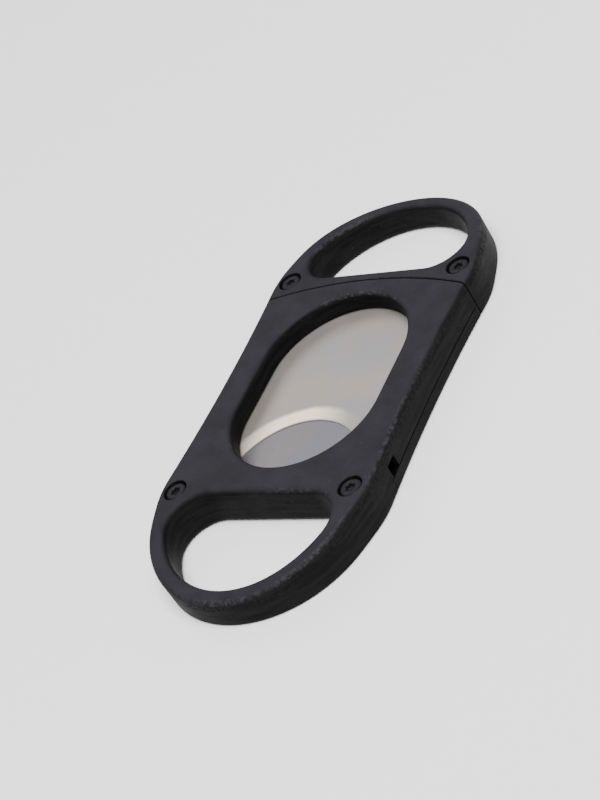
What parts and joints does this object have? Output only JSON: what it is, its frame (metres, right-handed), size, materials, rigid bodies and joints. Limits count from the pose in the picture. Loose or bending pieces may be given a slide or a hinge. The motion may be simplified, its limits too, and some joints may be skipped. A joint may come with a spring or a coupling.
{
  "type": "wick trimmer",
  "caption": "Flat double-blade guillotine wick trimmer with finger loops at both ends, one of which slides out to open the window.",
  "frame": {"origin": "centre of the closed tool on its back face", "axes": "+X across the body, +Y along the body towards the sliding finger loop, +Z out of the front face"},
  "size_m": [0.0424, 0.0942, 0.0076],
  "materials": {
    "shell_plastic": "satin, fine moulded grain",
    "blade_steel": "satin, rolled",
    "black_screw": "black oxide"
  },
  "bodies": {
    "body": {"front_shell": "shell_plastic", "rear_cover": "shell_plastic", "fixed_blade": "blade_steel", "body_screw_left": "black_screw", "body_screw_right": "black_screw"},
    "slider": {"sliding_loop": "shell_plastic", "sliding_blade": "blade_steel", "loop_screw_left": "black_screw", "loop_screw_right": "black_screw"}
  },
  "joints": [
    {"name": "loop_slide", "type": "slide", "parent": "body", "child": "slider", "axis": [0, 1, 0], "range_m": [0, 0.026]}
  ]
}
